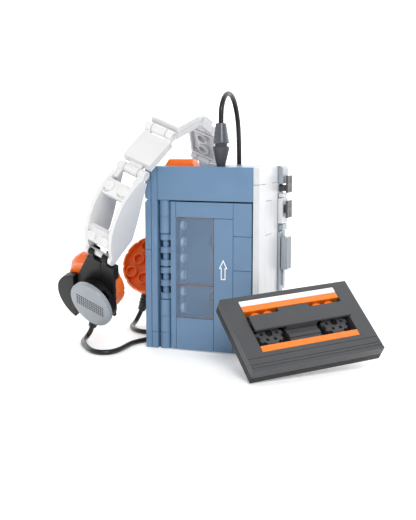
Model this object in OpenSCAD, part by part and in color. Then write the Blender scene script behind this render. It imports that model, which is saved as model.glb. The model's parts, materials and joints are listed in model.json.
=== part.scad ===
// Brick-built cassette player with its plug, cords, headset and cassette.
// The origin is the centre of the player's flat base, the door faces -Y and +Z is up.

/* [Player] */
// Pitch of one stud
stud = 8; // [7.98:0.01:8.02]
// Height of one plate
plate = 3.2; // [3.19:0.01:3.21]
// Clearance around each brick
clear = 0.06; // [0.04:0.01:0.08]
// Depth of the door
door_t = 8; // [7.8:0.1:8]
// Gap between the door and the parts around it
door_gap = 0.5; // [0.5:0.05:0.6]
// Depth of the cassette bay behind the door
bay_d = 10.4; // [9.8:0.1:11]

/* [Controls] */
// Length of the slider's grip
grip_l = 16; // [12:1:17]
// Radius of the round side knob
knob_r = 4.6; // [4:0.1:4.8]

/* [Headset] */
// Width of the head band
band_w = 16; // [15.8:0.1:16.2]
// Radius of the grilled disc on an ear cup
disc_r = 12.4; // [11.6:0.1:12.6]
// Radius of an ear pad
pad_r = 16; // [15:0.1:16]

/* [Cassette] */
// Length of the cassette
tape_l = 63.8; // [63:0.1:64]
// Width of the cassette
tape_w = 39.8; // [39:0.1:40]
// Thickness of the cassette
tape_t = 7.9; // [7.6:0.1:8]

/* [Cord] */
// Diameter of the cords
cord_d = 2.5; // [2.2:0.1:2.6]

/* [Hidden] */
$fn = 48;
running = 0.06;
stud_r = 2.4;
stud_h = 1.8;

// Player box: 18 plates wide, 12 plates deep and 11 studs high.
body_h = 11 * stud;
x_left = -9 * plate;
x_right = 9 * plate;
y_front = -6 * plate;
y_back = 6 * plate;
strip_d = 3 * plate;
// Inner face of the left panels and of the right panel.
x_in = x_left + 2 * plate;
x_out = x_right - plate;
// Underside of the top band, and the columns of the door.
z_band = 9 * stud;
x_edge = x_in + 2 * plate;
x_win = x_edge + plate;
x_arrow = x_win + 6 * plate;
x_corner = x_arrow + 3 * plate;
y_door = y_front + door_t;
y_bay = y_door + bay_d;
door_low = door_gap;
door_high = z_band - door_gap;

// Door hinge axis, its posts and its pin.
hinge_x = x_in + plate;
hinge_y = y_front + plate;
post_r = 3;
pin_r = 1.6;

// Reel spindles in the bay.
reel_gap = 27;
spindle_z = 38;
spindle_x = 1.6;

// Top deck, its button and its socket for the plug.
deck_low = body_h - 3 * plate;
deck_floor = 1.6;
button_l = 15.2;
button_d = 7.6;
button_x = x_in + 0.6 + button_l / 2;
button_y = y_front + 1.5 * stud;
button_low = body_h - 1.25 * plate;
well_gap = 0.4;
socket_r = 4.4;
jack_r = 1.8;

// Side controls: they stand on the rear strip of the right side.
layer_x = x_right + 2.4;
cap_x = x_right + 3.6;
cap_t = 1.2;
control_y = 14.4;
cap_w = 8;
stem_gap = 0.4;
upper_z = 79;
lower_z = 66.8;
cap_h = 8.4;
rail_low = 27;
rail_high = 56;
grip_low = 37.2;
knob_z = 21.4;

// Head band frame: x across the band, y to the back, z up the right ear cup.
band_at = [-55.2, -27.2, 20.2];
band_turn = [28.5, 21, -7];
// Hinge lines of the band, each as [y, z] in the band's frame.
j_right = [9.6, 27];
j_frame_r = [34.4, 61.8];
j_plate_r = [55.6, 72.6];
j_crown = [78.6, 69.4];
j_link = [91.2, 56.6];
j_frame_l = [96.7, 32.7];
j_left = [77.2, -4.9];
knuckle_r = 2.4;
band_pin_r = 1.2;
bar_r = 1.6;
// Half width of the middle knuckle, the gap beside it and the gap around the pin.
mid_w = 3.8;
side_gap = 0.35;
band_pin_gap = 0.12;
// Left ear cup: its place in the band's frame and its turn about the hinge lines.
left_at = [0, 60.6, -28.3];
left_turn = -55;
// Centres of the ear pads in their cups, across and up.
right_pad_at = [-8, 1];
left_pad_at = [2.6, 2.2];
// Ear cup layers, counted back from the front of its disc.
disc_t = 2.4;
ring_t = 4.8;
yoke_y = disc_t + ring_t;
yoke_t = 4;
// Below its top block the yoke is a thin plate, and the narrow front of the pad fills the rest.
skin_t = 1.6;
block_z = 16;
yoke_top = 24;
pad_y = yoke_y + yoke_t;
pad_t = 6.8;

// Cassette: lower front corner, and the turns of its long side and of its face.
tape_at = [39.6, -64.2, 0.2];
tape_turn = [39.2, -3.95, 44.6];
shell_t = 3.2;
window_x = 8;
window_y = [9, 37.2];
reel_x = 15.7;
reel_y = 19.2;
reel_r = 6.5;

// Plug and cord routes.
plug_at = [5.6, -7.2];
plug_neck = 10.6;
plug_top = 20.2;
splitter_at = [-16, 29.6, 0.05];
main_route = [
    [5.6, -7.2, 108.2], [5.6, -7.2, 111.5], [5.6, -6.6, 115.2], [5.5, -4.2, 118.8],
    [5.3, -0.4, 121.4], [5, 4.4, 122.4], [4.8, 9.4, 121.6], [4.6, 14, 118.8],
    [4.4, 17.8, 114.4], [4.3, 20.6, 108.4], [4.2, 22.2, 101], [4.2, 22.9, 92],
    [4.2, 23.2, 80], [4.2, 23.4, 64], [4.2, 23.4, 48], [4.2, 23.4, 34],
    [4.2, 23.8, 22], [4, 25, 12], [3, 27.6, 5.4], [0.8, 30.8, 2.2],
    [-2.8, 33, 1.4], [-8, 33.6, 1.3]];
right_route = [
    [-60.7, -15.3, 6.8], [-61.3, -15, 5.4], [-61.9, -15.2, 4], [-62.4, -16.2, 2.7],
    [-62.6, -17.9, 1.8], [-62.3, -20.2, 1.4], [-61.4, -23, 1.3], [-59.8, -26, 1.3],
    [-57.4, -29.4, 1.3], [-54.4, -33, 1.3], [-51, -36.8, 1.3], [-47, -40.4, 1.3],
    [-42.6, -42, 1.3], [-38.6, -40.6, 1.3], [-36.6, -36.6, 1.3], [-36.2, -31, 1.3],
    [-36.4, -25.4, 1.3], [-36.4, -20, 1.3], [-35.2, -15, 1.3], [-33.4, -10.6, 1.3],
    [-32.4, -5, 1.3], [-32, 2, 1.3], [-32, 10, 1.3], [-32, 18, 1.3],
    [-31, 24.6, 1.3], [-27.6, 29.2, 1.3], [-22, 31.4, 1.3], [-16, 31.6, 1.3]];
left_route = [
    [-53.2, 26.8, 8.1], [-53.9, 26.5, 6.4], [-54.6, 25.8, 4.6], [-55, 24.4, 3],
    [-55.2, 22.2, 1.8], [-54.9, 19.4, 1.4], [-53.6, 16, 1.3], [-51, 12.2, 1.3],
    [-47.6, 8.8, 1.3], [-43.8, 6.6, 1.3], [-40, 6.6, 1.3], [-37.2, 9.4, 1.3],
    [-36.2, 14, 1.3], [-36, 20, 1.3], [-35.4, 26, 1.3], [-32.8, 31.4, 1.3],
    [-28, 34.6, 1.3], [-22, 35.6, 1.3], [-16, 35.6, 1.3]];

blue = [0.42, 0.55, 0.68];
blue_dark = [0.36, 0.49, 0.62];
green = [0.25, 0.5, 0.35];
white = [0.95, 0.95, 0.95];
grey = [0.6, 0.64, 0.68];
dark = [0.28, 0.28, 0.3];
black = [0.13, 0.13, 0.14];
orange = [0.95, 0.42, 0.08];
clearish = [0.8, 0.86, 0.9, 0.4];

// ---- Shared shapes ----

// A brick between two corners, drawn in by the clearance on every side.
module brick(low, high, c = clear) {
    translate([low[0] + c, low[1] + c, low[2] + c])
        cube([high[0] - low[0] - 2 * c, high[1] - low[1] - 2 * c, high[2] - low[2] - 2 * c]);
}

// A cylinder along +X that starts at x.
module rod_x(x, length, r) {
    translate([x, 0, 0]) rotate([0, 90, 0]) cylinder(r = r, h = length);
}

// A cylinder along +Y that starts at y.
module rod_y(y, length, r) {
    translate([0, y, 0]) rotate([-90, 0, 0]) cylinder(r = r, h = length);
}

// An outline in Y and Z, as thick as `length` along X from x.
module slab_x(x, length) {
    translate([x, 0, 0]) rotate([90, 0, 90]) linear_extrude(length) children();
}

// An outline in X and Z, as thick as `length` along Y from y.
module slab_y(y, length) {
    translate([0, y + length, 0]) rotate([90, 0, 0]) linear_extrude(length) children();
}

// The waste of a rounded top corner at [x, z], where side is -1 on the left and 1 on the right.
module corner_waste(x, z, r, side) {
    difference() {
        translate([x - side * r / 2 + side / 2, z - r / 2 + 0.5]) square(r + 1, center = true);
        translate([x - side * r, z - r]) circle(r = r);
    }
}

// ---- Player shell ----

module base_plate() {
    color(blue_dark)
        translate([x_in + clear, y_door + clear, 0])
            cube([x_out - x_in - 2 * clear, y_back - plate - y_door - 2 * clear, plate - clear]);
}

module left_inner_panel() {
    color(blue_dark) {
        translate([x_left + plate + clear, y_front + clear, 0])
            cube([plate - 2 * clear, y_back - y_front - 2 * clear, stud - clear]);
        brick([x_left + plate, y_front, stud], [x_in, y_back, body_h]);
    }
}

// Outer left tiles: the top one has a rounded corner, and a notch parts it from the next.
module left_outer_tiles() {
    notch = 1.6;
    tile_w = plate - 2 * clear;
    color(blue_dark) {
        slab_y(y_front + clear, y_back - y_front - 2 * clear)
            difference() {
                translate([x_left, z_band + clear]) square([tile_w, body_h - z_band - 2 * clear]);
                corner_waste(x_left, body_h - clear, 2.4, -1);
                translate([x_left, z_band]) rotate(45) square(notch, center = true);
            }
        slab_y(y_front + clear, y_back - y_front - 2 * clear)
            difference() {
                translate([x_left, 6 * stud + clear]) square([tile_w, z_band - 6 * stud - 2 * clear]);
                translate([x_left, z_band]) rotate(45) square(notch, center = true);
            }
        translate([x_left, y_front + clear, 0])
            cube([tile_w, y_back - y_front - 2 * clear, 6 * stud - clear]);
    }
}

module top_front_tile() {
    color(blue)
        brick([x_in, y_front, z_band], [x_out, y_front + plate, body_h]);
}

// Top deck: a low box with a well for the button and a hole for the plug's socket.
module top_deck() {
    wall = 2;
    well_x = button_x + button_l / 2 + well_gap;
    color(blue)
        difference() {
            brick([x_in, y_front + plate, deck_low], [x_out, y_back, body_h]);
            translate([x_in + wall, y_front + plate + wall, deck_low + deck_floor])
                cube([x_out - x_in - 2 * wall, y_back - y_front - plate - 2 * wall,
                    3 * plate - deck_floor - plate]);
            translate([x_in - 1, button_y - button_d / 2 - well_gap, deck_low + deck_floor])
                cube([well_x - x_in + 1, button_d + 2 * well_gap, 3 * plate]);
            translate([plug_at[0], plug_at[1], deck_low + deck_floor])
                cylinder(r = socket_r, h = 3 * plate);
        }
}

module back_cover() {
    color(blue_dark)
        for (i = [0:2])
            brick([x_in, y_back - plate, 0.1 + i * 26], [x_out, y_back, 0.1 + (i + 1) * 26]);
}

// White right side: three strips of bricks from the front corner to the back.
module right_panels() {
    joints = [[0, 10, 11], [0, 7, 9, 11], [0, 3, 10, 11]];
    color(white)
        for (s = [0:2], i = [0:len(joints[s]) - 2])
            brick([x_out, y_front + s * strip_d, joints[s][i] * stud],
                [x_right, y_front + (s + 1) * strip_d, joints[s][i + 1] * stud]);
}

// Grey rear strip, which the side controls stand on, with holes for their stems and shaft.
module rear_corner_panel() {
    color(grey)
        difference() {
            brick([x_out, y_back - strip_d, 0], [x_right, y_back, body_h]);
            for (z = [upper_z - 2, lower_z])
                button_stem(z, x_out - 1, x_right + 1, stem_gap);
            translate([0, control_y, knob_z]) rod_x(x_out - 1, 2 * plate, pin_r + running);
        }
}

// One post that holds the door clear of the left panels; bored ones hold its pin.
module hinge_post(z0, bored) {
    translate([0, 0, z0 + clear])
        linear_extrude(stud - 2 * clear)
            difference() {
                union() {
                    translate([hinge_x, hinge_y]) circle(r = post_r);
                    translate([x_in + clear, hinge_y])
                        square([post_r + hinge_x - x_in - clear, y_door - hinge_y - clear]);
                }
                if (bored) translate([hinge_x, hinge_y]) circle(r = pin_r);
            }
}

module hinge_posts() {
    color(blue)
        for (k = [0, 1, 2, 7, 8]) hinge_post(k * stud, k == 2 || k == 7);
}

module door_hinge_pin() {
    color(grey)
        translate([hinge_x, hinge_y, 2 * stud + clear]) cylinder(r = pin_r, h = 6 * stud - 2 * clear);
}

// Back wall of the cassette bay on two feet, with a hole for each spindle.
module bay_plate() {
    color(grey)
        difference() {
            union() {
                brick([x_in, y_bay, plate], [x_out, y_bay + plate, deck_low]);
                for (x = [x_in, x_out - 2 * plate])
                    brick([x, y_bay + plate - 1, plate], [x + 2 * plate, y_back - plate, 2 * plate]);
            }
            for (s = [-1, 1])
                translate([spindle_x, y_bay, spindle_z + s * reel_gap / 2])
                    rod_y(-1, plate + 2, stud_r + running);
        }
}

// Tape head between its two guide pins, on the bay's back wall.
module tape_head() {
    guide_gap = 9;
    color(grey)
        translate([x_in + 6, y_bay + clear, spindle_z]) {
            translate([-2, -6, -3]) cube([4, 6, 6]);
            for (s = [-1, 1])
                translate([0, 0, s * guide_gap]) rod_y(-4, 4, 1.4);
        }
}

// One spindle: a shaft through the bay's wall, two collars and three fins.
module spindle(s) {
    collar_r = stud_r + 1.2;
    translate([spindle_x, y_bay, spindle_z + s * reel_gap / 2]) {
        rod_y(-5, 5 + plate + 1.6, stud_r);
        rod_y(plate + 0.4, 1.2, collar_r);
        rod_y(-1.6, 1.2, collar_r);
        for (a = [0:120:240])
            rotate([0, a, 0]) translate([-0.4, -4.6, 0]) cube([0.8, 3.8, collar_r]);
    }
}

module spindle_upper() {
    color(dark) spindle(1);
}

module spindle_lower() {
    color(dark) spindle(-1);
}

// ---- Door ----

// Edge strip of the door, with the knuckles that turn on the hinge pin.
module door_edge() {
    knuckle_h = 2.8;
    knuckle_pitch = 6.2;
    color(blue) {
        difference() {
            union() {
                brick([x_edge + door_gap, y_front, door_low], [x_win, y_door, 6 * stud]);
                brick([x_edge + door_gap, y_front, 6 * stud], [x_win, y_door, door_high]);
                for (z = [3 * stud, 5 * stud], k = [0:2])
                    translate([0, 0, z + 0.4 + k * knuckle_pitch])
                        linear_extrude(knuckle_h) {
                            translate([hinge_x, hinge_y]) circle(r = post_r - 0.2);
                            translate([hinge_x, hinge_y - 1.4]) square([plate + 1, 2.8]);
                        }
            }
            translate([hinge_x, hinge_y, 2 * stud]) cylinder(r = pin_r + running, h = 6 * stud);
        }
    }
}

// One clear panel on its side, with the studs of its base towards +X.
module window_panel(z0, z1) {
    wall = 1.2;
    brick([x_win, y_front, z0], [x_arrow, y_front + wall, z1]);
    brick([x_win, y_front, z0], [x_win + 1.6, y_door, z1]);
    for (z = [z0 + stud / 2:stud:z1 - 1])
        translate([0, y_front + door_t / 2 + 0.4, z]) rod_x(x_win + 1.5, stud_h, stud_r);
}

module door_window() {
    color(clearish) {
        window_panel(2 * stud, 4 * stud);
        window_panel(4 * stud, 8 * stud);
    }
}

module door_rails() {
    color(blue) {
        brick([x_win, y_front, 8 * stud], [x_corner, y_door, door_high]);
        brick([x_win, y_front, door_low], [x_arrow, y_door, 2 * stud]);
    }
}

module door_arrow_panel() {
    color(blue)
        brick([x_arrow, y_front, door_low], [x_corner, y_door, 8 * stud]);
}

module door_corner_blocks() {
    joints = [0, 1, 3, 5, 7, 9];
    color(blue)
        for (i = [0:len(joints) - 2])
            brick([x_corner, y_front, max(door_low, joints[i] * stud)],
                [x_out - door_gap, y_door, min(door_high, joints[i + 1] * stud)]);
}

// ---- Controls ----

// A flat-topped button with sloped sides, and its guide in the deck's well.
module top_button() {
    flare = 1.4;
    translate([button_x, button_y, 0])
        color(orange) {
            hull() {
                translate([-button_l / 2, -button_d / 2, body_h]) cube([button_l, button_d, 0.4]);
                translate([flare - button_l / 2, flare - button_d / 2, body_h])
                    cube([button_l - 2 * flare, button_d - 2 * flare, plate]);
            }
            translate([-button_l / 2, -button_d / 2, button_low])
                cube([button_l, button_d, body_h - button_low + 0.1]);
        }
}

// Coil spring between the deck's floor and the top button.
module button_spring() {
    coil_r = 2.4;
    wire_d = 0.6;
    turns = 3.5;
    low = deck_low + deck_floor + wire_d / 2 + clear;
    rise = button_low - low - wire_d / 2 - clear;
    color(grey)
        tube([for (a = [0:24:360 * turns])
            [button_x + coil_r * cos(a), button_y + coil_r * sin(a), low + rise * a / (360 * turns)]],
            wire_d, 6);
}

// The flat stem of a side button, grown by g on every side.
module button_stem(z, x0, x1, g) {
    translate([x0, control_y - 2 - g, z - 1.5 - g]) cube([x1 - x0, 4 + 2 * g, 3 + 2 * g]);
}

// A side push button: a cap with a flat stem behind it.
module side_button(z, stem_z) {
    brick([cap_x, control_y - cap_w / 2, z - cap_h / 2], [cap_x + cap_t, control_y + cap_w / 2, z + cap_h / 2]);
    button_stem(stem_z, x_out + 0.9, cap_x + 0.2, 0);
}

module upper_button() {
    color(dark) side_button(upper_z, upper_z - 2);
}

module lower_button() {
    color(dark) side_button(lower_z, lower_z);
}

// Blocks around the side buttons: a rounded post, two small blocks and the lower button's tile.
module control_blocks() {
    y0 = y_back - strip_d;
    color(white) {
        slab_y(y0 + clear, strip_d - 2 * clear)
            difference() {
                translate([x_right, 79.2]) square([layer_x - x_right, body_h - 79.2 - clear]);
                corner_waste(layer_x, body_h - clear, 2, 1);
            }
        brick([x_right - clear, y0 + 1, 72.5], [layer_x, y_back - 1, 74.6]);
        brick([x_right - clear, y0 + 1.2, 56.4], [layer_x, y_back - 1.2, 59.6]);
        difference() {
            brick([x_right - clear, y0, 59.8], [layer_x, y_back, 72.3]);
            button_stem(lower_z, x_right - 1, layer_x + 1, stem_gap);
        }
    }
}

// Rail that the slider's grip runs on, with a low rib along its middle.
module slider_rail() {
    color(grey) {
        brick([x_right - clear, y_back - strip_d, rail_low], [x_right + 1.3, y_back, rail_high]);
        brick([x_right + 1, control_y - 1.6, rail_low + 2], [x_right + 2.2, control_y + 1.6, rail_high - 1]);
    }
}

// Ribbed grip of the slider, with a groove for the rail's rib.
module slider_grip() {
    ribs = 4;
    pitch = cap_w / ribs;
    color(grey)
        difference() {
            union() {
                brick([x_right + 1.6, control_y - cap_w / 2, grip_low],
                    [x_right + 3.8, control_y + cap_w / 2, grip_low + grip_l]);
                for (k = [0:ribs - 1])
                    brick([x_right + 3.4, control_y - cap_w / 2 + (k + 0.2) * pitch, grip_low],
                        [x_right + 4.8, control_y - cap_w / 2 + (k + 0.8) * pitch, grip_low + grip_l]);
            }
            translate([x_right + 1, control_y - 2, grip_low - 1]) cube([1.5, 4, grip_l + 2]);
        }
}

// Round knob with ribs around its rim, on a shaft into the rear strip.
module side_knob() {
    rib_d = 0.9;
    color(grey)
        translate([0, control_y, knob_z]) {
            rod_x(x_out + 0.2, plate + 1, pin_r);
            rod_x(x_right + 0.5, 3.2, knob_r - rib_d / 2);
            for (a = [0:30:330])
                rotate([a, 0, 0])
                    translate([x_right + 0.5, -0.6, knob_r - rib_d]) cube([3.2, 1.2, rib_d]);
        }
}

// ---- Plug and cords ----

module jack_socket() {
    color(green)
        translate([plug_at[0], plug_at[1], deck_low + deck_floor + clear])
            difference() {
                cylinder(r = socket_r - 0.1, h = 1.6 * plate);
                translate([0, 0, 1]) cylinder(r = jack_r + 0.1, h = 2 * plate);
            }
}

// Lower part of the plug: a metal pin, an upturned cone and a neck.
module plug_barrel() {
    pin_low = deck_low + deck_floor + 1.4 - body_h;
    color(dark)
        translate([plug_at[0], plug_at[1], body_h])
            rotate_extrude()
                polygon([[0, pin_low], [jack_r, pin_low], [jack_r, -1], [2.1, 0.2], [4, 8.4],
                    [4, 9], [3, 9.4], [3, plug_neck], [0, plug_neck]]);
}

// Upper part of the plug, which grips the cord.
module plug_sleeve() {
    color(grey)
        translate([plug_at[0], plug_at[1], body_h])
            rotate_extrude()
                polygon([[0, plug_neck], [4, plug_neck], [4, plug_neck + 0.8], [2.4, plug_top], [0, plug_top]]);
}

function unit(v) = v / norm(v);
function route_dir(r, i) = unit(r[min(i + 1, len(r) - 1)] - r[max(i - 1, 0)]);
function ring_u(d) = unit(cross(d, abs(d[2]) > 0.75 ? [1, 0, 0] : [0, 0, 1]));

// A ring's first direction, carried along the route without twist.
function carry(r, i, u) = i == 0 ? [u] :
    let (before = carry(r, i - 1, u), last = before[i - 1], d = route_dir(r, i))
    concat(before, [unit(last - (last * d) * d)]);

// A round tube along a route, with one ring of points at each point of the route.
module tube(route, d, sides) {
    count = len(route);
    us = carry(route, count - 1, ring_u(route_dir(route, 0)));
    points = [for (i = [0:count - 1], k = [0:sides - 1])
        let (t = route_dir(route, i), a = 360 * k / sides)
        route[i] + d / 2 * (cos(a) * us[i] + sin(a) * cross(t, us[i]))];
    start = [for (k = [0:sides - 1]) k];
    end = [for (k = [0:sides - 1]) (count - 1) * sides + sides - 1 - k];
    walls = [for (i = [0:count - 2], k = [0:sides - 1])
        [i * sides + k, (i + 1) * sides + k, (i + 1) * sides + (k + 1) % sides, i * sides + (k + 1) % sides]];
    polyhedron(points, concat([start], [end], walls));
}

module main_cord() {
    color(black) tube(main_route, cord_d, 8);
}

module right_cord() {
    color(black) tube(right_route, cord_d, 8);
}

module left_cord() {
    color(black) tube(left_route, cord_d, 8);
}

// Small block where the cord parts in two.
module cord_splitter() {
    color(black)
        translate(splitter_at) cube([8, 8, 3.8]);
}

// ---- Ear cups ----

// Puts its children in the head band's frame.
module in_band() {
    translate(band_at) rotate(band_turn) children();
}

// Puts its children at the left ear cup, which faces the right one.
module at_left() {
    translate(left_at) rotate([left_turn, 0, 0]) rotate([0, 0, 180]) children();
}

module cup_disc() {
    rod_y(0, disc_t - clear, disc_r);
}

// Ring behind the disc, with a notch, and the curved wing on the cup's outer side.
module cup_shell() {
    wing_r = 14.5;
    wing_at = [-11, -7];
    wing_right = -14.4;
    color(black) {
        difference() {
            rod_y(disc_t + clear, ring_t - 2 * clear, disc_r - 1.2);
            rotate([0, 40, 0]) translate([-2.4, disc_t - 1, disc_r - 3.4]) cube([4.8, 3.4, 4]);
        }
        intersection() {
            translate([wing_at[0], 0, wing_at[1]]) rod_y(disc_t + 2.4, yoke_y + skin_t - disc_t - 2.4 - clear, wing_r);
            translate([wing_at[0] - wing_r, 0, wing_at[1] - wing_r])
                cube([wing_right - wing_at[0] + wing_r, pad_y, 2 * wing_r]);
        }
    }
}

// Yoke of two wedge bricks, with the clips on top that hold the band's bar.
module cup_yoke(grip) {
    clip_w = 3;
    seam_x = 1.5;
    for (side = [0, 1])
        difference() {
            slab_y(yoke_y + clear, yoke_t - 2 * clear)
                intersection() {
                    polygon([[-6.5, yoke_top], [9.5, yoke_top], [9.5, -8], [-14, -8], [-14, 6]]);
                    translate([side == 0 ? seam_x - 20 : seam_x + clear, -10]) square([20 - clear, 40]);
                }
            translate([-20, yoke_y + skin_t, -20]) cube([40, yoke_t, block_z + 20]);
        }
    for (x = [-5.4, 2.4])
        difference() {
            union() {
                translate([0, j_right[0], j_right[1]]) rod_x(x, clip_w, grip + 1.2);
                translate([x, yoke_y + clear, yoke_top - 0.1]) cube([clip_w, yoke_t - 2 * clear, j_right[1] - yoke_top]);
            }
            translate([0, j_right[0], j_right[1]]) rod_x(x - 1, clip_w + 2, grip);
            translate([x - 1, j_right[0] - 1.2, j_right[1]]) cube([clip_w + 2, 2.4, 6]);
        }
}

// Round ear pad with a shallow hollow and nine tubes on the side towards the head.
module cup_pad(centre) {
    rim = 1.6;
    hollow = 3.2;
    tube_r = 3.2;
    pad_front_r = 13;
    floor_y = pad_y + pad_t - hollow;
    translate([centre[0], 0, centre[1]]) {
        difference() {
            union() {
                rod_y(pad_y + clear, pad_t, pad_r);
                rod_y(yoke_y + skin_t + clear, yoke_t, pad_front_r);
            }
            rod_y(floor_y, hollow + 1, pad_r - rim);
        }
        intersection() {
            for (x = [-stud, 0, stud], z = [-stud, 0, stud])
                translate([x, 0, z])
                    difference() {
                        rod_y(floor_y - 0.1, hollow - 0.6, tube_r);
                        rod_y(floor_y + 0.1, hollow, tube_r - 0.8);
                    }
            rod_y(pad_y, pad_t, pad_r - rim / 2);
        }
    }
}

// A strain relief from one point to another, with two ribs.
module relief(from, to) {
    d = to - from;
    length = norm(d);
    translate(from)
        rotate([0, acos(d[2] / length), atan2(d[1], d[0])])
            rotate_extrude()
                polygon([[0, 0], [3.4, 0], [3.4, 2.4], [2.9, 2.8], [3.2, 3.2], [3.2, 4], [2.6, 4.4],
                    [2.9, 4.8], [2.9, 5.4], [1.9, length], [0, length]]);
}

module right_disc() {
    color(grey) in_band() cup_disc();
}

module right_shell() {
    in_band() cup_shell();
}

module right_yoke() {
    color(black) in_band() cup_yoke(bar_r + running);
}

module right_pad() {
    color(orange) in_band() cup_pad(right_pad_at);
}

module right_relief() {
    color(black) in_band() relief([-1.5, 7.8, -10.5], [-1.6, 2.6, -18.5]);
}

module left_disc() {
    color(grey) in_band() at_left() cup_disc();
}

module left_shell() {
    in_band() at_left() cup_shell();
}

module left_yoke() {
    color(black) in_band() at_left() cup_yoke(bar_r + running);
}

module left_pad() {
    color(orange) in_band() at_left() cup_pad(left_pad_at);
}

module left_relief() {
    color(black) in_band() at_left() relief([0, 6.6, -12], [0, 4, -21]);
}

// ---- Head band ----

// Adds to a link the middle knuckle and pin of the hinge where it starts and the outer
// knuckles of the hinge where it ends, and clears its neighbours' knuckles.
module band_link(start, end, toward_start, toward_end) {
    outer_w = band_w / 2 - mid_w - side_gap;
    swing_r = knuckle_r + 0.45;
    difference() {
        union() {
            children();
            if (start) web(start, toward_start, -mid_w, mid_w);
            if (end) for (x = [-band_w / 2, mid_w + side_gap]) web(end, toward_end, x, x + outer_w);
            if (end) translate([0, end[0], end[1]])
                for (x = [-band_w / 2, mid_w + side_gap]) rod_x(x, outer_w, knuckle_r);
        }
        if (start) translate([0, start[0], start[1]])
            for (x = [-band_w / 2 - 1, mid_w]) rod_x(x, outer_w + 1 + side_gap, swing_r);
        if (end) translate([0, end[0], end[1]]) {
            rod_x(-mid_w - side_gap, 2 * (mid_w + side_gap), swing_r);
            rod_x(-band_w, 2 * band_w, band_pin_r + band_pin_gap);
        }
    }
    if (start) translate([0, start[0], start[1]]) {
        rod_x(-mid_w, 2 * mid_w, knuckle_r);
        rod_x(0.4 - band_w / 2, band_w - 0.8, band_pin_r);
    }
}

// A web from a hinge line towards a point of its link.
module web(at, to, x0, x1) {
    d = to - at;
    translate([0, at[0], at[1]])
        rotate([atan2(d[1], d[0]), 0, 0])
            translate([x0 + 0.2, 0, -1.1]) cube([x1 - x0 - 0.4, norm(d), 2.2]);
}

// A slab between two hinge lines: `from` and `to` along the line, `low` and `high` off it.
module span(a, b, from, to, low, high) {
    d = b - a;
    translate([0, a[0], a[1]])
        rotate([atan2(d[1], d[0]), 0, 0])
            translate([0.1 - band_w / 2, from, low]) cube([band_w - 0.2, to - from, high - low]);
}

// The point at a distance along, and off, the line between two hinge lines.
function off(a, b, along, up) =
    let (d = unit(b - a))
    a + along * d + up * [-d[1], d[0]];

// A curved frame of two walls and two studded plates. It is drawn from the bar, at the
// origin, to the knuckle at [length, 0], with its outer side towards +Z.
module curved_frame(length) {
    wall = 2;
    arc_r = 26;
    difference() {
        for (x = [-band_w / 2, band_w / 2 - wall])
            slab_x(x, wall)
                union() {
                    circle(r = bar_r + 1);
                    intersection() {
                        translate([21, -14.6]) circle(r = arc_r);
                        polygon([[-1, -2.2], [11, -9.6], [18, -8.4], [length - 12, -5.2], [length - 3.2, -3],
                            [length - 2.4, 2], [length - 6, 14], [-4, 14]]);
                    }
                }
        translate([0, length, 0]) rod_x(-band_w, 2 * band_w, knuckle_r + 0.2);
    }
    rod_x(-band_w / 2 + 0.5, band_w - 1, bar_r);
    for (p = [[8.4, 6.8, 25], [32.6, 7.4, -24]])
        translate([0, p[0], p[1]])
            rotate([p[2], 0, 0]) {
                translate([-band_w / 2 + 0.5, -4, -3.2]) cube([band_w - 1, 8, plate]);
                for (x = [-stud / 2, stud / 2]) translate([x, 0, -0.1]) cylinder(r = stud_r, h = stud_h);
            }
}

// Places a curved frame from bar `a` to hinge `b`, on the side given by flip.
module place_frame(a, b, flip) {
    d = b - a;
    translate([0, a[0], a[1]])
        rotate([atan2(d[1], d[0]), 0, 0])
            mirror([0, 0, flip]) curved_frame(norm(d));
}

module frame_right() {
    color(white)
        in_band()
            band_link(undef, j_frame_r, undef, off(j_frame_r, j_right, 6, -3))
                place_frame(j_right, j_frame_r, 0);
}

module plate_right() {
    color(white)
        in_band()
            band_link(j_frame_r, j_plate_r, [40, 64.4], [52.6, 69.4])
                translate([0.1 - band_w / 2, 37, 66.5])
                    rotate([15.8, 0, 0]) translate([0, 0, -4.2]) cube([band_w - 0.2, 17.2, 4.2]);
}

module crown_plate() {
    color(white)
        in_band()
            band_link(j_plate_r, j_crown, off(j_plate_r, j_crown, 5, -1), off(j_plate_r, j_crown, 19, -1))
                span(j_plate_r, j_crown, 3, 20.2, -2.6, 0.6);
}

module crown_tile() {
    color(white)
        in_band() span(j_plate_r, j_crown, 3, 20.4, 0.6 + clear, 0.6 + plate);
}

module link_left() {
    color(white)
        in_band()
            band_link(j_crown, j_link, off(j_crown, j_link, 5, 0), off(j_crown, j_link, 14, 0))
                union() {
                    span(j_crown, j_link, 3, 15, -1.8, 1.4);
                    span(j_crown, j_link, 4, 12, 1.3, 3.4);
                }
}

// Outer plate of the left side: open underneath, with a row of tubes inside.
module plate_left() {
    l = norm(j_frame_l - j_link);
    wall = 1.4;
    color(white)
        in_band()
            band_link(j_link, j_frame_l, off(j_link, j_frame_l, 5, 0.4), off(j_link, j_frame_l, l - 5, 0.4))
                union() {
                    difference() {
                        span(j_link, j_frame_l, 3, l - 3, -1.6, 1.6);
                        translate([0, j_link[0], j_link[1]])
                            rotate([atan2(j_frame_l[1] - j_link[1], j_frame_l[0] - j_link[0]), 0, 0])
                                translate([wall - band_w / 2, 3 + wall, -3])
                                    cube([band_w - 2 * wall, l - 6 - 2 * wall, 3.2]);
                    }
                    translate([0, j_link[0], j_link[1]])
                        rotate([atan2(j_frame_l[1] - j_link[1], j_frame_l[0] - j_link[0]), 0, 0])
                            for (y = [l / 2 - stud / 2, l / 2 + stud / 2])
                                translate([0, y, -1.6])
                                    difference() {
                                        cylinder(r = 3.2, h = 2);
                                        translate([0, 0, -1]) cylinder(r = stud_r, h = 2.8);
                                    }
                }
}

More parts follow.
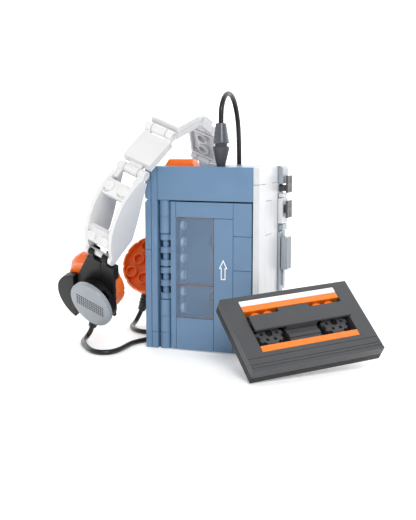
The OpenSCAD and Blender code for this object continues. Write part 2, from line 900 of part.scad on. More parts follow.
module frame_left() {
    color(white)
        in_band()
            band_link(j_frame_l, undef, off(j_frame_l, j_left, 9, 5.5), undef)
                difference() {
                    place_frame(j_left, j_frame_l, 1);
                    translate([0, j_frame_l[0], j_frame_l[1]]) rod_x(-mid_w - 0.1, 2 * mid_w + 0.2, knuckle_r);
                }
}

// ---- Cassette ----

// Puts its children in the cassette's frame: x along it, y up its face and z out of it.
module in_tape() {
    translate(tape_at) rotate(tape_turn) children();
}

// Back shell with a peg for each reel.
module cassette_shell() {
    color(black)
        in_tape() {
            cube([tape_l, tape_w, shell_t]);
            for (x = [reel_x, tape_l - reel_x])
                translate([x, reel_y, shell_t - 0.1]) cylinder(r = pin_r, h = 3);
        }
}

// Front frame around the open window, with seams near its lower edge.
module cassette_frame() {
    seams = [1.7, 3.2, 6.4];
    seam = 0.3;
    color(dark)
        in_tape()
            difference() {
                translate([0, 0, shell_t + clear]) cube([tape_l, tape_w, tape_t - shell_t - clear]);
                translate([window_x - clear, window_y[0] - clear, 0])
                    cube([tape_l - 2 * (window_x - clear), window_y[1] - window_y[0] + 2 * clear, tape_t + 1]);
                for (y = seams) translate([-1, y, tape_t - seam]) cube([tape_l + 2, seam, 1]);
            }
}

// A flat strip across the window, from the shell up to height z.
module window_strip(y0, y1, z) {
    translate([window_x, y0, shell_t + clear])
        cube([tape_l - 2 * window_x, y1 - y0 - clear, z - shell_t - clear]);
}

module cassette_white_label() {
    color(white) in_tape() window_strip(34.2, window_y[1], tape_t);
}

module cassette_orange_labels() {
    color(orange)
        in_tape() {
            window_strip(31, 34.2, tape_t);
            window_strip(window_y[0], 12.2, tape_t);
            for (x = [13.4, 19.6, tape_l - 19.6, tape_l - 13.4])
                translate([x, 28.2, shell_t + clear]) cylinder(r = 2.7, h = 3.2);
        }
}

// Dark bar raised over the window, on a block between the reels.
module cassette_bridge() {
    color(dark)
        in_tape() {
            translate([8.6, 19.6, 8.1]) cube([47.8, 8, 1.2]);
            translate([24.2, 19.6, shell_t + clear]) cube([tape_l - 48.4, 8.1, 4.95]);
            translate([24.2, 27.6, shell_t + clear]) cube([tape_l - 48.4, 3.2, 4.6]);
        }
}

module cassette_middle() {
    color(grey)
        in_tape() {
            translate([24.2, 12.3, shell_t + clear]) cube([tape_l - 48.4, 7.2, 2.4]);
            translate([24.2, 15, shell_t + clear]) cube([tape_l - 48.4, 2, 3]);
        }
}

// A toothed reel hub with six small holes around its bore.
module reel(x) {
    teeth = 10;
    in_tape()
        translate([x, reel_y, shell_t + 0.4])
            difference() {
                union() {
                    cylinder(r = reel_r - 1, h = 2.4);
                    for (k = [0:teeth - 1])
                        rotate(k * 360 / teeth) translate([reel_r - 1.6, -0.9, 0.2]) cube([1.5, 1.8, 2]);
                }
                translate([0, 0, -1]) cylinder(r = pin_r + running, h = 5);
                for (k = [0:5]) rotate(k * 60) translate([3.7, 0, -1]) cylinder(r = 0.8, h = 5);
            }
}

module reel_left() {
    color(black) reel(reel_x);
}

module reel_right() {
    color(black) reel(tape_l - reel_x);
}

base_plate();
left_inner_panel();
left_outer_tiles();
top_front_tile();
top_deck();
back_cover();
right_panels();
rear_corner_panel();
hinge_posts();
door_hinge_pin();
bay_plate();
tape_head();
spindle_upper();
spindle_lower();
door_edge();
door_window();
door_rails();
door_arrow_panel();
door_corner_blocks();
top_button();
button_spring();
upper_button();
lower_button();
control_blocks();
slider_rail();
slider_grip();
side_knob();
jack_socket();
plug_barrel();
plug_sleeve();
main_cord();
cord_splitter();
right_cord();
left_cord();
right_disc();
right_shell();
right_yoke();
right_pad();
right_relief();
left_disc();
left_shell();
left_yoke();
left_pad();
left_relief();
frame_right();
plate_right();
crown_plate();
crown_tile();
link_left();
plate_left();
frame_left();
cassette_shell();
cassette_frame();
cassette_white_label();
cassette_orange_labels();
cassette_bridge();
cassette_middle();
reel_left();
reel_right();
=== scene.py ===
"""Looks of the brick-built cassette player, its headset, cords and cassette.

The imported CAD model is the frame. Each hard piece is rebuilt from its CAD node as moulded
plastic: its solids are parted, its flat faces cleaned and its edges rounded. The cords, the
grilles, the ear pads, the arrow and the button marks are modelled here.
"""

import json
import math

import bmesh
import bpy
from mathutils import Matrix, Vector


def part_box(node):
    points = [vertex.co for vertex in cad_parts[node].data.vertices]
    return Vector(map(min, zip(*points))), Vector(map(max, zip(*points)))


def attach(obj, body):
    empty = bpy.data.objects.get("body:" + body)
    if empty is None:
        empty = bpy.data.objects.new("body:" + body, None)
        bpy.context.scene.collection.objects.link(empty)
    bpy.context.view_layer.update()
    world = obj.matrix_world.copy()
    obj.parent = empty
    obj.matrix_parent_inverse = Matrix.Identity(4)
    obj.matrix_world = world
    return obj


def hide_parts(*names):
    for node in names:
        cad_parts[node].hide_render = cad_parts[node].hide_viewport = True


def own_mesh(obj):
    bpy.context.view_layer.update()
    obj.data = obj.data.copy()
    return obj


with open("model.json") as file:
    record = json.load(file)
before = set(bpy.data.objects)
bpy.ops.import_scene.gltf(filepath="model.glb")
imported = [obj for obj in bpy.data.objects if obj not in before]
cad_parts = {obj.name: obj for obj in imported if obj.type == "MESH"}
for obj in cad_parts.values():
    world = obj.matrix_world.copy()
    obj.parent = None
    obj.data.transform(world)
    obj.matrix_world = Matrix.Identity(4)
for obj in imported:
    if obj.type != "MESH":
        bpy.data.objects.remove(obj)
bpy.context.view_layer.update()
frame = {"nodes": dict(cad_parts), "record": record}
scene = bpy.context.scene
MM = 0.001
BODY_OF = {
    node: body
    for body, nodes in frame["record"]["behaviour"]["bodies"].items()
    for node in nodes
}


def mm(*values):
    """A point given in millimetres, in metres."""
    return Vector(values) * MM


# ---- Camera, light and floor ----

CAMERA_AT = Vector((0.1544, -0.4079, 0.1021))
CAMERA_HEADING = math.radians(21.2)
CAMERA_DOWN = math.radians(7.87)
CAMERA_LENS = 62.06
AIM = (0, 0, 0.05)
WALL_BEHIND = 1.2


def make_camera():
    """The camera, to the right of the player's front and a little above its top."""
    data = bpy.data.cameras.new("camera")
    data.lens = CAMERA_LENS
    data.sensor_width = 36
    data.clip_start = 0.01
    data.clip_end = 20
    camera = bpy.data.objects.new("camera", data)
    camera.location = CAMERA_AT
    camera.rotation_euler = (math.pi / 2 - CAMERA_DOWN, 0, CAMERA_HEADING)
    scene.collection.objects.link(camera)
    scene.camera = camera


def area_light(name, place, size, power):
    """A round soft light that points at the player."""
    data = bpy.data.lights.new(name, "AREA")
    data.shape = "DISK"
    data.size = size
    data.energy = power
    light = bpy.data.objects.new(name, data)
    light.location = place
    light.rotation_euler = (Vector(AIM) - Vector(place)).to_track_quat("-Z", "Y").to_euler()
    scene.collection.objects.link(light)


def backdrop(name, place, lean, glow):
    """A large white sheet of the studio, which glows a little."""
    half = 6
    mesh = bpy.data.meshes.new(name)
    mesh.from_pydata(
        [(-half, -half, 0), (half, -half, 0), (half, half, 0), (-half, half, 0)], [], [(0, 1, 2, 3)]
    )
    sheet = bpy.data.objects.new(name, mesh)
    sheet.location = place
    sheet.rotation_euler.x = lean
    scene.collection.objects.link(sheet)
    paint = bpy.data.materials.new(name + "_paint")
    paint.use_nodes = True
    shader = paint.node_tree.nodes["Principled BSDF"]
    shader.inputs["Base Color"].default_value = (0.93, 0.93, 0.93, 1)
    shader.inputs["Roughness"].default_value = 0.9
    shader.inputs["Specular IOR Level"].default_value = 0.1
    shader.inputs["Emission Color"].default_value = (1, 1, 1, 1)
    shader.inputs["Emission Strength"].default_value = glow
    mesh.materials.append(paint)


def make_studio():
    """White surroundings, three soft lights, and a white floor and wall."""
    world = bpy.data.worlds.new("studio")
    world.use_nodes = True
    sky = world.node_tree.nodes["Background"]
    sky.inputs["Color"].default_value = (1, 1, 1, 1)
    sky.inputs["Strength"].default_value = 0.42
    scene.world = world
    area_light("key", (0.5, -0.75, 0.72), size=0.6, power=8.5)
    area_light("fill", (-0.8, -0.6, 0.4), size=0.8, power=0.8)
    area_light("back", (-0.3, 0.7, 0.9), size=0.8, power=1.5)
    backdrop("floor", (0, 0, -0.0001), lean=0, glow=0.22)
    backdrop("wall", (0, WALL_BEHIND, 0), lean=math.pi / 2, glow=1.0)
    scene.view_settings.view_transform = "Standard"
    scene.view_settings.look = "None"


make_camera()
make_studio()


# ---- Materials ----


def linear(code):
    """A linear colour from an sRGB hex code."""
    parts = [int(code[i : i + 2], 16) / 255 for i in (0, 2, 4)]
    return [c / 12.92 if c <= 0.04045 else ((c + 0.055) / 1.055) ** 2.4 for c in parts] + [1]


def plastic(name, code, rough=0.3, coat=0.25, grain=0.006, mottle=0.05, glow=0.0, shine=0.5):
    """Moulded plastic: a faint mottle in colour and gloss and a fine orange peel."""
    material = bpy.data.materials.new(name)
    material.use_nodes = True
    tree = material.node_tree
    nodes, links = tree.nodes, tree.links
    shader = nodes["Principled BSDF"]
    shader.inputs["IOR"].default_value = 1.52
    shader.inputs["Coat Weight"].default_value = coat
    shader.inputs["Coat Roughness"].default_value = 0.12
    shader.inputs["Specular IOR Level"].default_value = shine
    if glow:
        shader.inputs["Subsurface Weight"].default_value = glow
        shader.inputs["Subsurface Radius"].default_value = (1, 0.6, 0.4)
        shader.inputs["Subsurface Scale"].default_value = 0.0008
    place = nodes.new("ShaderNodeTexCoord")
    cloud = nodes.new("ShaderNodeTexNoise")
    cloud.inputs["Scale"].default_value = 70
    cloud.inputs["Detail"].default_value = 4
    links.new(place.outputs["Object"], cloud.inputs["Vector"])
    colour = nodes.new("ShaderNodeValToRGB")
    base = linear(code)
    ends = ((0.3, 1 - mottle), (0.7, 1 + mottle))
    for stop, (at, share) in zip(colour.color_ramp.elements, ends):
        stop.position = at
        stop.color = [min(1, c * share) for c in base[:3]] + [1]
    links.new(cloud.outputs["Fac"], colour.inputs["Fac"])
    links.new(colour.outputs["Color"], shader.inputs["Base Color"])
    gloss = nodes.new("ShaderNodeMapRange")
    gloss.inputs["To Min"].default_value = rough * 0.8
    gloss.inputs["To Max"].default_value = rough * 1.25
    links.new(cloud.outputs["Fac"], gloss.inputs["Value"])
    links.new(gloss.outputs["Result"], shader.inputs["Roughness"])
    peel = nodes.new("ShaderNodeTexNoise")
    peel.inputs["Scale"].default_value = 1400
    peel.inputs["Detail"].default_value = 2
    links.new(place.outputs["Object"], peel.inputs["Vector"])
    bump = nodes.new("ShaderNodeBump")
    bump.inputs["Strength"].default_value = 0.35
    bump.inputs["Distance"].default_value = grain * MM
    links.new(peel.outputs["Fac"], bump.inputs["Height"])
    links.new(bump.outputs["Normal"], shader.inputs["Normal"])
    return material


def clear_plastic(name, code, least, most):
    """Clear moulded plastic: see-through where it is seen face on, and denser towards its edges."""
    material = plastic(name, code, rough=0.06, coat=0.0, mottle=0.02, shine=0.8)
    nodes, links = material.node_tree.nodes, material.node_tree.links
    shader = nodes["Principled BSDF"]
    edge = nodes.new("ShaderNodeLayerWeight")
    edge.inputs["Blend"].default_value = 0.35
    cover = nodes.new("ShaderNodeMapRange")
    cover.inputs["To Min"].default_value = least
    cover.inputs["To Max"].default_value = most
    links.new(edge.outputs["Facing"], cover.inputs["Value"])
    links.new(cover.outputs["Result"], shader.inputs["Alpha"])
    return material


def plated_metal(name):
    """Plated steel, with the same faint mottle and grain as the plastics."""
    material = plastic(name, "a9adb3", rough=0.3, coat=0.0)
    shader = material.node_tree.nodes["Principled BSDF"]
    shader.inputs["Metallic"].default_value = 1.0
    return material


MATERIALS = {
    "blue_panel": plastic("blue_abs", "607e9d", rough=0.36, coat=0.15, shine=0.4),
    # The player's white is dimmed where the key light falls full on its white sides: painted shade
    # on one white plastic.
    "white_panel": plastic("white_abs", "c8cacd", rough=0.32, glow=0.05, mottle=0.02),
    "grey_panel": plastic("bluish_grey_abs", "90979f", rough=0.32),
    "metal": plated_metal("plated_steel"),
    "dark_plastic": plastic("dark_grey_abs", "47484b", rough=0.4, coat=0.05, shine=0.3),
    "clear_panel": clear_plastic("clear_abs", "8aa9cb", 0.19, 0.85),
    "button_orange": plastic("bright_orange_abs", "f26c14", rough=0.28, glow=0.1),
    "green_plastic": plastic("green_abs", "1f6a42", rough=0.32),
    "plug_grip": plastic("plug_plastic", "4a4e55", rough=0.26, coat=0.4),
    "cord_black": plastic("cord_jacket", "121213", rough=0.38, coat=0.2, grain=0.02, shine=0.35),
    "disc_grey": plastic("disc_grey_abs", "949ba2", rough=0.32),
    "black_plastic": plastic("black_abs", "121112", rough=0.42, coat=0.05, shine=0.25),
    "pad_orange": plastic("pad_orange_abs", "f46e18", rough=0.3, glow=0.08),
    # The band's white is the same white plastic, made lighter to lift its faces that lie in shade:
    # painted light.
    "band_white": plastic("band_white_abs_painted_light", "dadada", rough=0.32, glow=0.06, mottle=0.02),
    "label_white": plastic("label_white_abs", "f0f0f0", rough=0.28, mottle=0.02),
    "label_orange": plastic("label_orange_abs", "f27a12", rough=0.28, glow=0.08),
}
# The sideways studs behind the window get a near-white, almost opaque clear plastic: a painted
# highlight.
STUD_HIGHLIGHT_GLASS = clear_plastic("stud_glass_painted_highlight", "e4f0fc", 0.9, 1.0)
# A warm brownish clear plastic for the window rims: a painted tint for the darker light bent at the
# glass edges.
REFRACTION_RIM = clear_plastic("painted_refraction_rim", "8d786e", 0.6, 0.9)
SLOT_OF = {row["node"]: row["material_slot"] for row in frame["record"]["subparts"]}


# ---- Shared mesh tools ----

WELD = 2e-6  # corners closer than this are one corner
FLAT = math.radians(0.5)  # faces that turn by less are one flat face
ROUNDED_ABOVE = math.radians(32)  # edges that turn by more get rounded


def dress(piece, body, slot, replaced=(), look=None):
    """Gives a piece its plastic, which its slot picks unless a look is given, and its body."""
    piece.data.materials.clear()
    piece.data.materials.append(look or MATERIALS[slot])
    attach(piece, body)
    if replaced:
        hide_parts(*replaced)
    return piece


def new_piece(name, bm, body, slot, replaced=(), flat_over=40, look=None):
    """Turns a bmesh into a smooth-shaded piece that rides on a body."""
    bmesh.ops.recalc_face_normals(bm, faces=bm.faces)
    mesh = bpy.data.meshes.new(name)
    bm.to_mesh(mesh)
    bm.free()
    mesh.shade_smooth()
    mesh.set_sharp_from_angle(angle=math.radians(flat_over))
    piece = bpy.data.objects.new(name, mesh)
    scene.collection.objects.link(piece)
    weigh = piece.modifiers.new("even_normals", "WEIGHTED_NORMAL")
    weigh.keep_sharp = True
    return dress(piece, body, slot, replaced, look)


def cad_mesh(node):
    """The closed mesh of a CAD node, with each flat face in one piece."""
    bm = bmesh.new()
    bm.from_mesh(frame["nodes"][node].data)
    bmesh.ops.remove_doubles(bm, verts=bm.verts, dist=WELD)
    bmesh.ops.dissolve_limit(bm, angle_limit=FLAT, verts=bm.verts, edges=bm.edges)
    return bm


def islands(bm):
    """The separate solids of a mesh, as lists of faces."""
    left = set(bm.faces)
    found = []
    while left:
        stack = [min(left, key=lambda f: f.index)]
        left.discard(stack[0])
        solid = []
        while stack:
            face = stack.pop()
            solid.append(face)
            for edge in face.edges:
                for other in edge.link_faces:
                    if other in left:
                        left.discard(other)
                        stack.append(other)
        found.append(solid)
    return found


def part(bm, faces):
    """A new mesh that holds only these faces."""
    keep = {f.index for f in faces}
    solid = bm.copy()
    solid.faces.ensure_lookup_table()
    bmesh.ops.delete(solid, geom=[f for f in solid.faces if f.index not in keep], context="FACES")
    return solid


def round_edges(bm, width):
    """Rounds every edge that is sharper than ROUNDED_ABOVE."""
    sharp = [e for e in bm.edges if len(e.link_faces) == 2 and e.calc_face_angle(0) > ROUNDED_ABOVE]
    if sharp:
        bmesh.ops.bevel(
            bm, geom=sharp, offset=width, segments=2, profile=0.5, affect="EDGES",
            clamp_overlap=True,
        )


def add(bm, other):
    """Adds another mesh to bm and frees it."""
    mesh = bpy.data.meshes.new("scratch")
    other.to_mesh(mesh)
    other.free()
    bm.from_mesh(mesh)
    bpy.data.meshes.remove(mesh)


def rounded_solids(node, width):
    """Each solid of a CAD node as its own mesh with rounded edges, from low to high."""
    bm = cad_mesh(node)
    bm.faces.index_update()
    solids = [part(bm, faces) for faces in islands(bm)]
    bm.free()
    for solid in solids:
        round_edges(solid, width)
    return sorted(solids, key=lambda b: min(v.co.z for v in b.verts))


def refine(node, width, slot=None):
    """Rebuilds a CAD node as a moulded piece with rounded edges."""
    bm = bmesh.new()
    for solid in rounded_solids(node, width):
        add(bm, solid)
    return new_piece(node + "_moulding", bm, BODY_OF[node], slot or SLOT_OF[node], [node])


def box_mesh(low, high):
    """A closed box between two corners."""
    bm = bmesh.new()
    bmesh.ops.create_cube(bm, size=1)
    low, high = Vector(low), Vector(high)
    for v in bm.verts:
        v.co = Vector(((v.co[i] + 0.5) * (high[i] - low[i]) + low[i] for i in range(3)))
    return bm


def turned(profile, steps):
    """A solid turned about +Z from points of radius and height, in millimetres."""
    bm = bmesh.new()
    rings = []
    for r, z in ((radius * MM, height * MM) for radius, height in profile):
        if r == 0:
            rings.append([bm.verts.new((0, 0, z))] * steps)
        else:
            angles = [math.tau * k / steps for k in range(steps)]
            rings.append([bm.verts.new((r * math.cos(a), r * math.sin(a), z)) for a in angles])
    for a, b in zip(rings, rings[1:]):
        for k in range(steps):
            n = (k + 1) % steps
            corners = dict.fromkeys((a[k], a[n], b[n], b[k]))
            if len(corners) > 2:
                bm.faces.new(list(corners))
    return bm


def prism(outline, low, high):
    """A closed prism over an outline in X and Y, between two heights."""
    bm = bmesh.new()
    floor = [bm.verts.new((x, y, low)) for x, y in outline]
    roof = [bm.verts.new((x, y, high)) for x, y in outline]
    bm.faces.new(floor[::-1])
    bm.faces.new(roof)
    for k in range(len(outline)):
        n = (k + 1) % len(outline)
        bm.faces.new((floor[k], floor[n], roof[n], roof[k]))
    return bm


def placed(bm, matrix):
    """Moves a mesh and returns it."""
    bmesh.ops.transform(bm, matrix=matrix, verts=bm.verts)
    return bm


def carved(piece, cutters, name):
    """Cuts a mesh of cutters out of a piece and applies the cut, ahead of its other modifiers."""
    mesh = bpy.data.meshes.new(name)
    cutters.to_mesh(mesh)
    cutters.free()
    tool = bpy.data.objects.new(name, mesh)
    scene.collection.objects.link(tool)
    cut = piece.modifiers.new(name, "BOOLEAN")
    cut.object = tool
    cut.solver = "EXACT"
    while piece.modifiers[0] != cut:
        bpy.ops.object.select_all(action="DESELECT")
        bpy.context.view_layer.objects.active = piece
        bpy.ops.object.modifier_move_up(modifier=cut.name)
    cut_piece = piece.evaluated_get(bpy.context.evaluated_depsgraph_get())
    done = bpy.data.meshes.new_from_object(cut_piece)
    piece.modifiers.remove(cut)
    piece.data = done
    bpy.data.objects.remove(tool)


# ---- Places ----

# The right ear cup's frame, which the head band starts from, and the left one's at its other end.
BAND = Matrix.Translation(mm(-55.2, -27.2, 20.2)) @ (
    Matrix.Rotation(math.radians(-7), 3, "Z")
    @ Matrix.Rotation(math.radians(21), 3, "Y")
    @ Matrix.Rotation(math.radians(28.5), 3, "X")
).to_4x4()
LEFT_CUP = (
    BAND
    @ Matrix.Translation(mm(0, 60.6, -28.3))
    @ Matrix.Rotation(math.radians(-55), 4, "X")
    @ Matrix.Rotation(math.pi, 4, "Z")
)
TO_MINUS_Y = Matrix.Rotation(math.pi / 2, 4, "X")
TO_PLUS_Y = Matrix.Rotation(-math.pi / 2, 4, "X")
DOOR_FRONT = -19.14
PLUG_AT = (5.6, -7.2, 88)


# ---- Cords ----

CORD_D = 2.5 * MM

# Each cord's route in millimetres, from where it leaves its plug or relief to the splitter.
MAIN_ROUTE = [
    (5.6, -7.2, 108.2), (5.6, -7.2, 111.5), (5.6, -6.6, 115.2), (5.5, -4.2, 118.8),
    (5.3, -0.4, 121.4), (5, 4.4, 122.4), (4.8, 9.4, 121.6), (4.6, 14, 118.8),
    (4.4, 17.8, 114.4), (4.3, 20.6, 108.4), (4.2, 22.2, 101), (4.2, 22.9, 92),
    (4.2, 23.2, 80), (4.2, 23.4, 64), (4.2, 23.4, 48), (4.2, 23.4, 34),
    (4.2, 23.8, 22), (4, 25, 12), (3, 27.6, 5.4), (0.8, 30.8, 2.2),
    (-2.8, 33, 1.4), (-8, 33.6, 1.3),
]
RIGHT_ROUTE = [
    (-60.7, -15.3, 6.8), (-61.3, -15, 5.4), (-61.9, -15.2, 4), (-62.4, -16.2, 2.7),
    (-62.6, -17.9, 1.8), (-62.3, -20.2, 1.4), (-61.4, -23, 1.3), (-59.8, -26, 1.3),
    (-57.4, -29.4, 1.3), (-54.4, -33, 1.3), (-51, -36.8, 1.3), (-47, -40.4, 1.3),
    (-42.6, -42, 1.3), (-38.6, -40.6, 1.3), (-36.6, -36.6, 1.3), (-36.2, -31, 1.3),
    (-36.4, -25.4, 1.3), (-36.4, -20, 1.3), (-35.2, -15, 1.3), (-33.4, -10.6, 1.3),
    (-32.4, -5, 1.3), (-32, 2, 1.3), (-32, 10, 1.3), (-32, 18, 1.3),
    (-31, 24.6, 1.3), (-27.6, 29.2, 1.3), (-22, 31.4, 1.3), (-16, 31.6, 1.3),
]
LEFT_ROUTE = [
    (-53.2, 26.8, 8.1), (-53.9, 26.5, 6.4), (-54.6, 25.8, 4.6), (-55, 24.4, 3),
    (-55.2, 22.2, 1.8), (-54.9, 19.4, 1.4), (-53.6, 16, 1.3), (-51, 12.2, 1.3),
    (-47.6, 8.8, 1.3), (-43.8, 6.6, 1.3), (-40, 6.6, 1.3), (-37.2, 9.4, 1.3),
    (-36.2, 14, 1.3), (-36, 20, 1.3), (-35.4, 26, 1.3), (-32.8, 31.4, 1.3),
    (-28, 34.6, 1.3), (-22, 35.6, 1.3), (-16, 35.6, 1.3),
]


def through(route, steps=5):
    """Points of a Catmull-Rom curve through a route, in metres."""
    points = [mm(*p) for p in route]
    points = [2 * points[0] - points[1], *points, 2 * points[-1] - points[-2]]
    line = []
    for a, b, c, d in zip(points, points[1:], points[2:], points[3:]):
        for k in range(steps):
            t = k / steps
            line.append(
                0.5 * (2 * b + (c - a) * t + (2 * a - 5 * b + 4 * c - d) * t**2
                       + (3 * b - a - 3 * c + d) * t**3)
            )
    return line + [points[-2]]


def make_cord(node, route):
    """A free cord along its route, as a curve with a round section."""
    name = node + "_run"
    line = through(route)
    curve = bpy.data.curves.new(name, "CURVE")
    curve.dimensions = "3D"
    curve.bevel_depth = CORD_D / 2
    curve.bevel_resolution = 5
    curve.use_fill_caps = True
    spline = curve.splines.new("POLY")
    spline.points.add(len(line) - 1)
    for point, place in zip(spline.points, line):
        point.co = (*place, 1)
    spline.use_smooth = True
    piece = bpy.data.objects.new(name, curve)
    scene.collection.objects.link(piece)
    dress(piece, "player", "cord_black", [node])


splitter = refine("cord_splitter", 0.9 * MM, "cord_black")


def ribbed_relief(side, place, start, end):
    """A tapered strain relief with a collar and two ribs, between two points of an ear cup."""
    start, end = mm(*start), mm(*end)
    aim = (end - start).to_track_quat("Z", "Y").to_matrix().to_4x4()
    long = (end - start).length / MM
    profile = [
        (0, 0), (3.2, 0), (3.4, 0.25), (3.4, 2.1), (3.25, 2.4), (2.9, 2.65), (2.9, 3), (3.2, 3.2),
        (3.2, 4), (3, 4.2), (2.6, 4.4), (2.6, 4.6), (2.9, 4.8), (2.9, 5.4), (2.7, 5.6),
        (2.05, long - 0.5), (1.85, long - 0.1), (1.6, long), (0, long),
    ]
    bm = placed(turned(profile, 40), place @ Matrix.Translation(start) @ aim)
    return new_piece(f"{side}_strain_relief", bm, "player", "cord_black", [f"{side}_relief"], 50)


right_relief = ribbed_relief("right", BAND, (-1.5, 7.8, -10.5), (-1.6, 2.6, -18.5))
left_relief = ribbed_relief("left", LEFT_CUP, (0, 6.6, -12), (0, 4, -21))


def make_plug():
    """The plug: a pin under an upturned cone with a neck, and a long cone above them."""
    place = Matrix.Translation(mm(*PLUG_AT))
    lower = [
        (0, -6.4), (1.5, -6.4), (1.78, -6.1), (1.78, -1), (2.1, 0.2), (3.95, 8.2), (4, 8.5),
        (4, 8.9), (3.8, 9.15), (3, 9.4), (3, 10.55), (0, 10.55),
    ]
    upper = [
        (0, 10.6), (3.8, 10.6), (4, 10.8), (4, 11.3), (3.9, 11.6), (2.5, 19.9), (2.3, 20.15),
        (1.5, 20.2), (0, 20.2),
    ]
    low = placed(turned(lower, 48), place)
    high = placed(turned(upper, 48), place)
    return (
        new_piece("plug_lower_cone", low, "player", "dark_plastic", ["plug_barrel"], 35),
        new_piece("plug_upper_cone", high, "player", "plug_grip", ["plug_sleeve"], 35),
    )


plug = make_plug()
make_cord("main_cord", MAIN_ROUTE)
make_cord("right_cord", RIGHT_ROUTE)
make_cord("left_cord", LEFT_ROUTE)


# ---- Player ----

for panel in (
    "left_inner_panel", "left_outer_tiles", "top_front_tile", "top_deck", "back_cover",
    "base_plate", "right_panels", "rear_corner_panel", "hinge_posts", "door_edge", "door_rails",
    "door_arrow_panel", "door_corner_blocks",
):
    refine(panel, 0.22 * MM)
for fitting in (
    "door_hinge_pin", "tape_head", "spindle_upper", "spindle_lower", "jack_socket", "bay_plate",
):
    refine(fitting, 0.15 * MM)
refine("top_button", 0.45 * MM)
for control in ("upper_button", "lower_button", "slider_rail", "slider_grip", "side_knob"):
    refine(control, 0.16 * MM)


def make_control_blocks():
    """The blocks beside the side buttons: grey ones, and a pale tile between the buttons."""
    tile_low, tile_high = 60 * MM, 76 * MM
    pale = bmesh.new()
    grey = bmesh.new()
    for solid in rounded_solids("control_blocks", 0.25 * MM):
        middle = sum(v.co.z for v in solid.verts) / len(solid.verts)
        add(pale if tile_low < middle < tile_high else grey, solid)
    new_piece("control_tiles", pale, "player", "white_panel", ["control_blocks"])
    new_piece("control_post", grey, "player", "grey_panel")


make_control_blocks()


def window_studs():
    """The row of six clear studs that lie sideways behind the window."""
    first, pitch, count = (-11.22, -14.8, 20), 8, 6
    radius, tall, rounding = 2.32, 1.72, 0.3
    profile = [(0, 0), (radius, 0), (radius, tall - rounding), (2.05, tall), (0, tall)]
    sideways = Matrix.Rotation(math.pi / 2, 4, "Y")
    studs = bmesh.new()
    for k in range(count):
        at = mm(first[0], first[1], first[2] + pitch * k)
        add(studs, placed(turned(profile, 40), Matrix.Translation(at) @ sideways))
    return studs


def window_rims():
    """The warm line along the rims of the two clear panels, open at their hinge side: painted
    refraction, a tint for the darker light bent at the glass edges.
    """
    line, proud, inner, gap = 0.34, 0.03, -18.2, 0.2
    west, east = -12.62, 6.22
    rims = bmesh.new()
    for low, high in ((16, 32), (32, 64)):
        south, north = low + gap, high - gap
        for (x0, z0), (x1, z1) in (
            ((west, south), (east, south + line)),
            ((west, north - line), (east, north)),
            ((east - line, south + line), (east, north - line)),
        ):
            add(rims, box_mesh(mm(x0, DOOR_FRONT - proud, z0), mm(x1, inner, z1)))
    return rims


def make_window():
    """The clear window: two moulded panels, with their studs in a near-white, almost opaque clear
    plastic that paints their highlight, and the line along their rims, a painted tint of the light
    bent at the glass edges.
    """
    refine("door_window", 0.15 * MM)
    new_piece("window_studs", window_studs(), "door", "clear_panel", flat_over=30, look=STUD_HIGHLIGHT_GLASS)
    new_piece("window_rims", window_rims(), "door", "clear_panel", flat_over=20, look=REFRACTION_RIM)


make_window()


def inset(outline, width):
    """The corners of an outline, each moved inward so that the sides move in by a width."""
    count = len(outline)
    inner = []
    for k in range(count):
        a, b, c = (Vector(outline[(k + i) % count]) for i in (-1, 0, 1))
        u, v = (b - a).normalized(), (c - b).normalized()
        n = Vector((-u.y, u.x)) + Vector((-v.y, v.x))
        inner.append(b + n * (width / (1 + u.dot(v))))
    return inner


def make_arrow():
    """The white outline arrow printed on the door, as a thin raised line."""
    half_head, half_shaft, neck, tip, line, ink = 2.1, 1.15, 5.2, 9.5, 0.42, 0.04
    middle, bottom = 11.2, 35.4
    outline = [
        (-half_shaft, 0), (half_shaft, 0), (half_shaft, neck), (half_head, neck), (0, tip),
        (-half_head, neck), (-half_shaft, neck),
    ]
    inner = inset(outline, line)
    bm = bmesh.new()
    rows = [
        [bm.verts.new((x * MM, y * MM, height * MM)) for x, y in points]
        for points, height in ((outline, 0), (outline, ink), (inner, ink), (inner, 0))
    ]
    for a, b in zip(rows, rows[1:] + rows[:1]):
        for k in range(len(outline)):
            n = (k + 1) % len(outline)
            bm.faces.new((a[k], a[n], b[n], b[k]))
    placed(bm, Matrix.Translation((middle * MM, DOOR_FRONT * MM, bottom * MM)) @ TO_MINUS_Y)
    new_piece("door_arrow_line", bm, "door", "label_white", flat_over=20)


make_arrow()


def make_button_marks(button):
    """Two black triangles on a side button's cap, one above the other."""
    low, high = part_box(button)
    centre_y, size, ink = (low.y + high.y) / 2, 3 * MM, 0.04 * MM
    triangle = [(-size * 0.5, -size * 0.45), (size * 0.5, -size * 0.45), (0, size * 0.5)]
    upright = Matrix.Rotation(math.pi / 2, 4, "Z") @ Matrix.Rotation(math.pi / 2, 4, "X")
    bm = bmesh.new()
    for z in ((low.z * 3 + high.z) / 4, (low.z + high.z * 3) / 4):
        at = Matrix.Translation((high.x, centre_y, z))
        add(bm, placed(prism(triangle, 0, ink), at @ upright))
    new_piece(button + "_marks", bm, button, "black_plastic", flat_over=20)


make_button_marks("upper_button")
make_button_marks("lower_button")


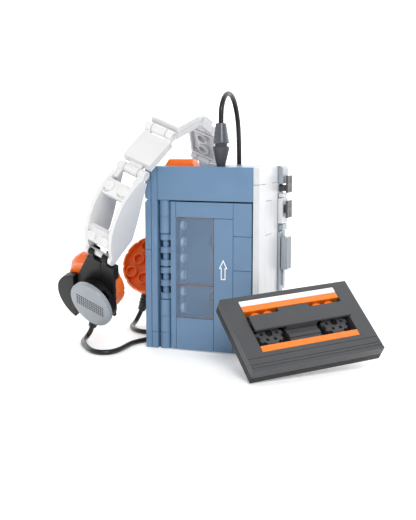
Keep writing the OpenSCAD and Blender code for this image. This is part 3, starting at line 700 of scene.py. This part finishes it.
def make_spring():
    """The coil spring under the top button."""
    low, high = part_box("button_spring")
    centre = (low + high) / 2
    wire, turns, steps, sides = 0.3 * MM, 3.5, 24, 8
    radius = (high.x - low.x) / 2 - wire
    total = int(turns * steps)
    bm = bmesh.new()
    rings = []
    for k in range(total + 1):
        a = math.tau * k / steps
        out = Vector((math.cos(a), math.sin(a), 0))
        at = centre + out * radius
        at.z = low.z + wire + (high.z - low.z - 2 * wire) * k / total
        rings.append([
            bm.verts.new(at + wire * (math.cos(b) * out + math.sin(b) * Vector((0, 0, 1))))
            for b in (math.tau * i / sides for i in range(sides))
        ])
    for a, b in zip(rings, rings[1:]):
        for k in range(sides):
            n = (k + 1) % sides
            bm.faces.new((a[k], a[n], b[n], b[k]))
    bm.faces.new(rings[0])
    bm.faces.new(rings[-1][::-1])
    spring = new_piece("button_coil", bm, "player", "metal", ["button_spring"])
    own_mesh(spring)


make_spring()


# ---- Headset ----

for cup_side in ("right", "left"):
    for layer in ("shell", "yoke"):
        refine(f"{cup_side}_{layer}", 0.3 * MM)
for band_piece in (
    "frame_right", "plate_right", "crown_plate", "crown_tile", "link_left", "plate_left",
    "frame_left",
):
    refine(band_piece, 0.25 * MM)


def grille_holes():
    """Cutters for a grille of 13 by 5 square holes."""
    columns, rows, pitch, half, depth = 13, 5, 1.33, 0.47, 1.1
    holes = bmesh.new()
    for i in range(columns):
        for j in range(rows):
            x = (i - (columns - 1) / 2) * pitch
            z = (j - (rows - 1) / 2) * pitch
            add(holes, box_mesh(mm(x - half, -1, z - half), mm(x + half, depth, z + half)))
    return holes


def make_disc(side, place):
    """The disc on an ear cup, with its grille and a black sheet in its holes, painted shade for
    their dark insides.
    """
    radius, thick = 12.4, 2.34
    profile = [
        (0, 0), (radius - 0.55, 0), (radius - 0.2, 0.12), (radius, 0.5), (radius, thick - 0.15),
        (radius - 0.15, thick), (0, thick),
    ]
    disc = placed(turned(profile, 96), place @ TO_PLUS_Y)
    piece = new_piece(f"{side}_grille_disc", disc, "player", "disc_grey", [f"{side}_disc"], 30)
    carved(piece, placed(grille_holes(), place), f"{side}_grille_holes")
    # A black sheet inside the grille holes: painted shade that makes the holes read dark.
    hole_shade_sheet = placed(box_mesh(mm(-9, 0.15, -3.4), mm(9, 0.6, 3.4)), place)
    new_piece(f"{side}_grille_painted_shade", hole_shade_sheet, "player", "black_plastic")


def notch_rim(bm, inside=13.6, notches=12, share=0.035):
    """Draws the rim of a turned pad in at evenly spaced notches."""
    for v in bm.verts:
        if math.hypot(v.co.x, v.co.y) > inside * MM:
            angle = math.atan2(v.co.y, v.co.x)
            wave = max(0.0, math.cos(notches * angle)) ** 8
            v.co.x *= 1 - share * wave
            v.co.y *= 1 - share * wave


def make_pad(side, place, centre):
    """A round ear pad: a chamfered rim with notches, and nine tubes in its hollow."""
    neck, front, back, radius, neck_r = 8.86, 11.26, 18.06, 16, 13
    floor = back - 3.26
    profile = [
        (0, neck), (neck_r - 0.4, neck), (neck_r, neck + 0.4), (neck_r, front),
        (radius - 0.8, front + 1.6), (radius, front + 2.8), (radius, back - 1.2),
        (radius - 0.3, back - 0.3), (radius - 0.7, back), (radius - 1.1, back),
        (radius - 1.4, back - 0.3), (radius - 1.6, floor + 0.2), (radius - 1.8, floor), (0, floor),
    ]
    foot, lip = floor - 0.3, back - 0.75
    tube_wall = [
        (2.4, foot), (2.4, lip - 0.2), (2.55, lip), (3.05, lip), (3.2, lip - 0.2), (3.2, foot),
        (2.4, foot),
    ]
    bm = turned(profile, 120)
    notch_rim(bm)
    for x in (-8, 0, 8):
        for y in (-8, 0, 8):
            add(bm, placed(turned(tube_wall, 32), Matrix.Translation(mm(x, y, 0))))
    bmesh.ops.remove_doubles(bm, verts=bm.verts, dist=WELD)
    placed(bm, place @ Matrix.Translation(mm(centre[0], 0, centre[1])) @ TO_PLUS_Y)
    new_piece(f"{side}_ear_pad", bm, "player", "pad_orange", [f"{side}_pad"], 38)


for side, place, pad_centre in (("right", BAND, (-8, 1)), ("left", LEFT_CUP, (2.6, 2.2))):
    make_disc(side, place)
    make_pad(side, place, pad_centre)


# ---- Cassette ----

for tape_piece in (
    "cassette_shell", "cassette_frame", "cassette_white_label", "cassette_orange_labels",
    "cassette_bridge", "cassette_middle", "reel_left", "reel_right",
):
    refine(tape_piece, 0.2 * MM)
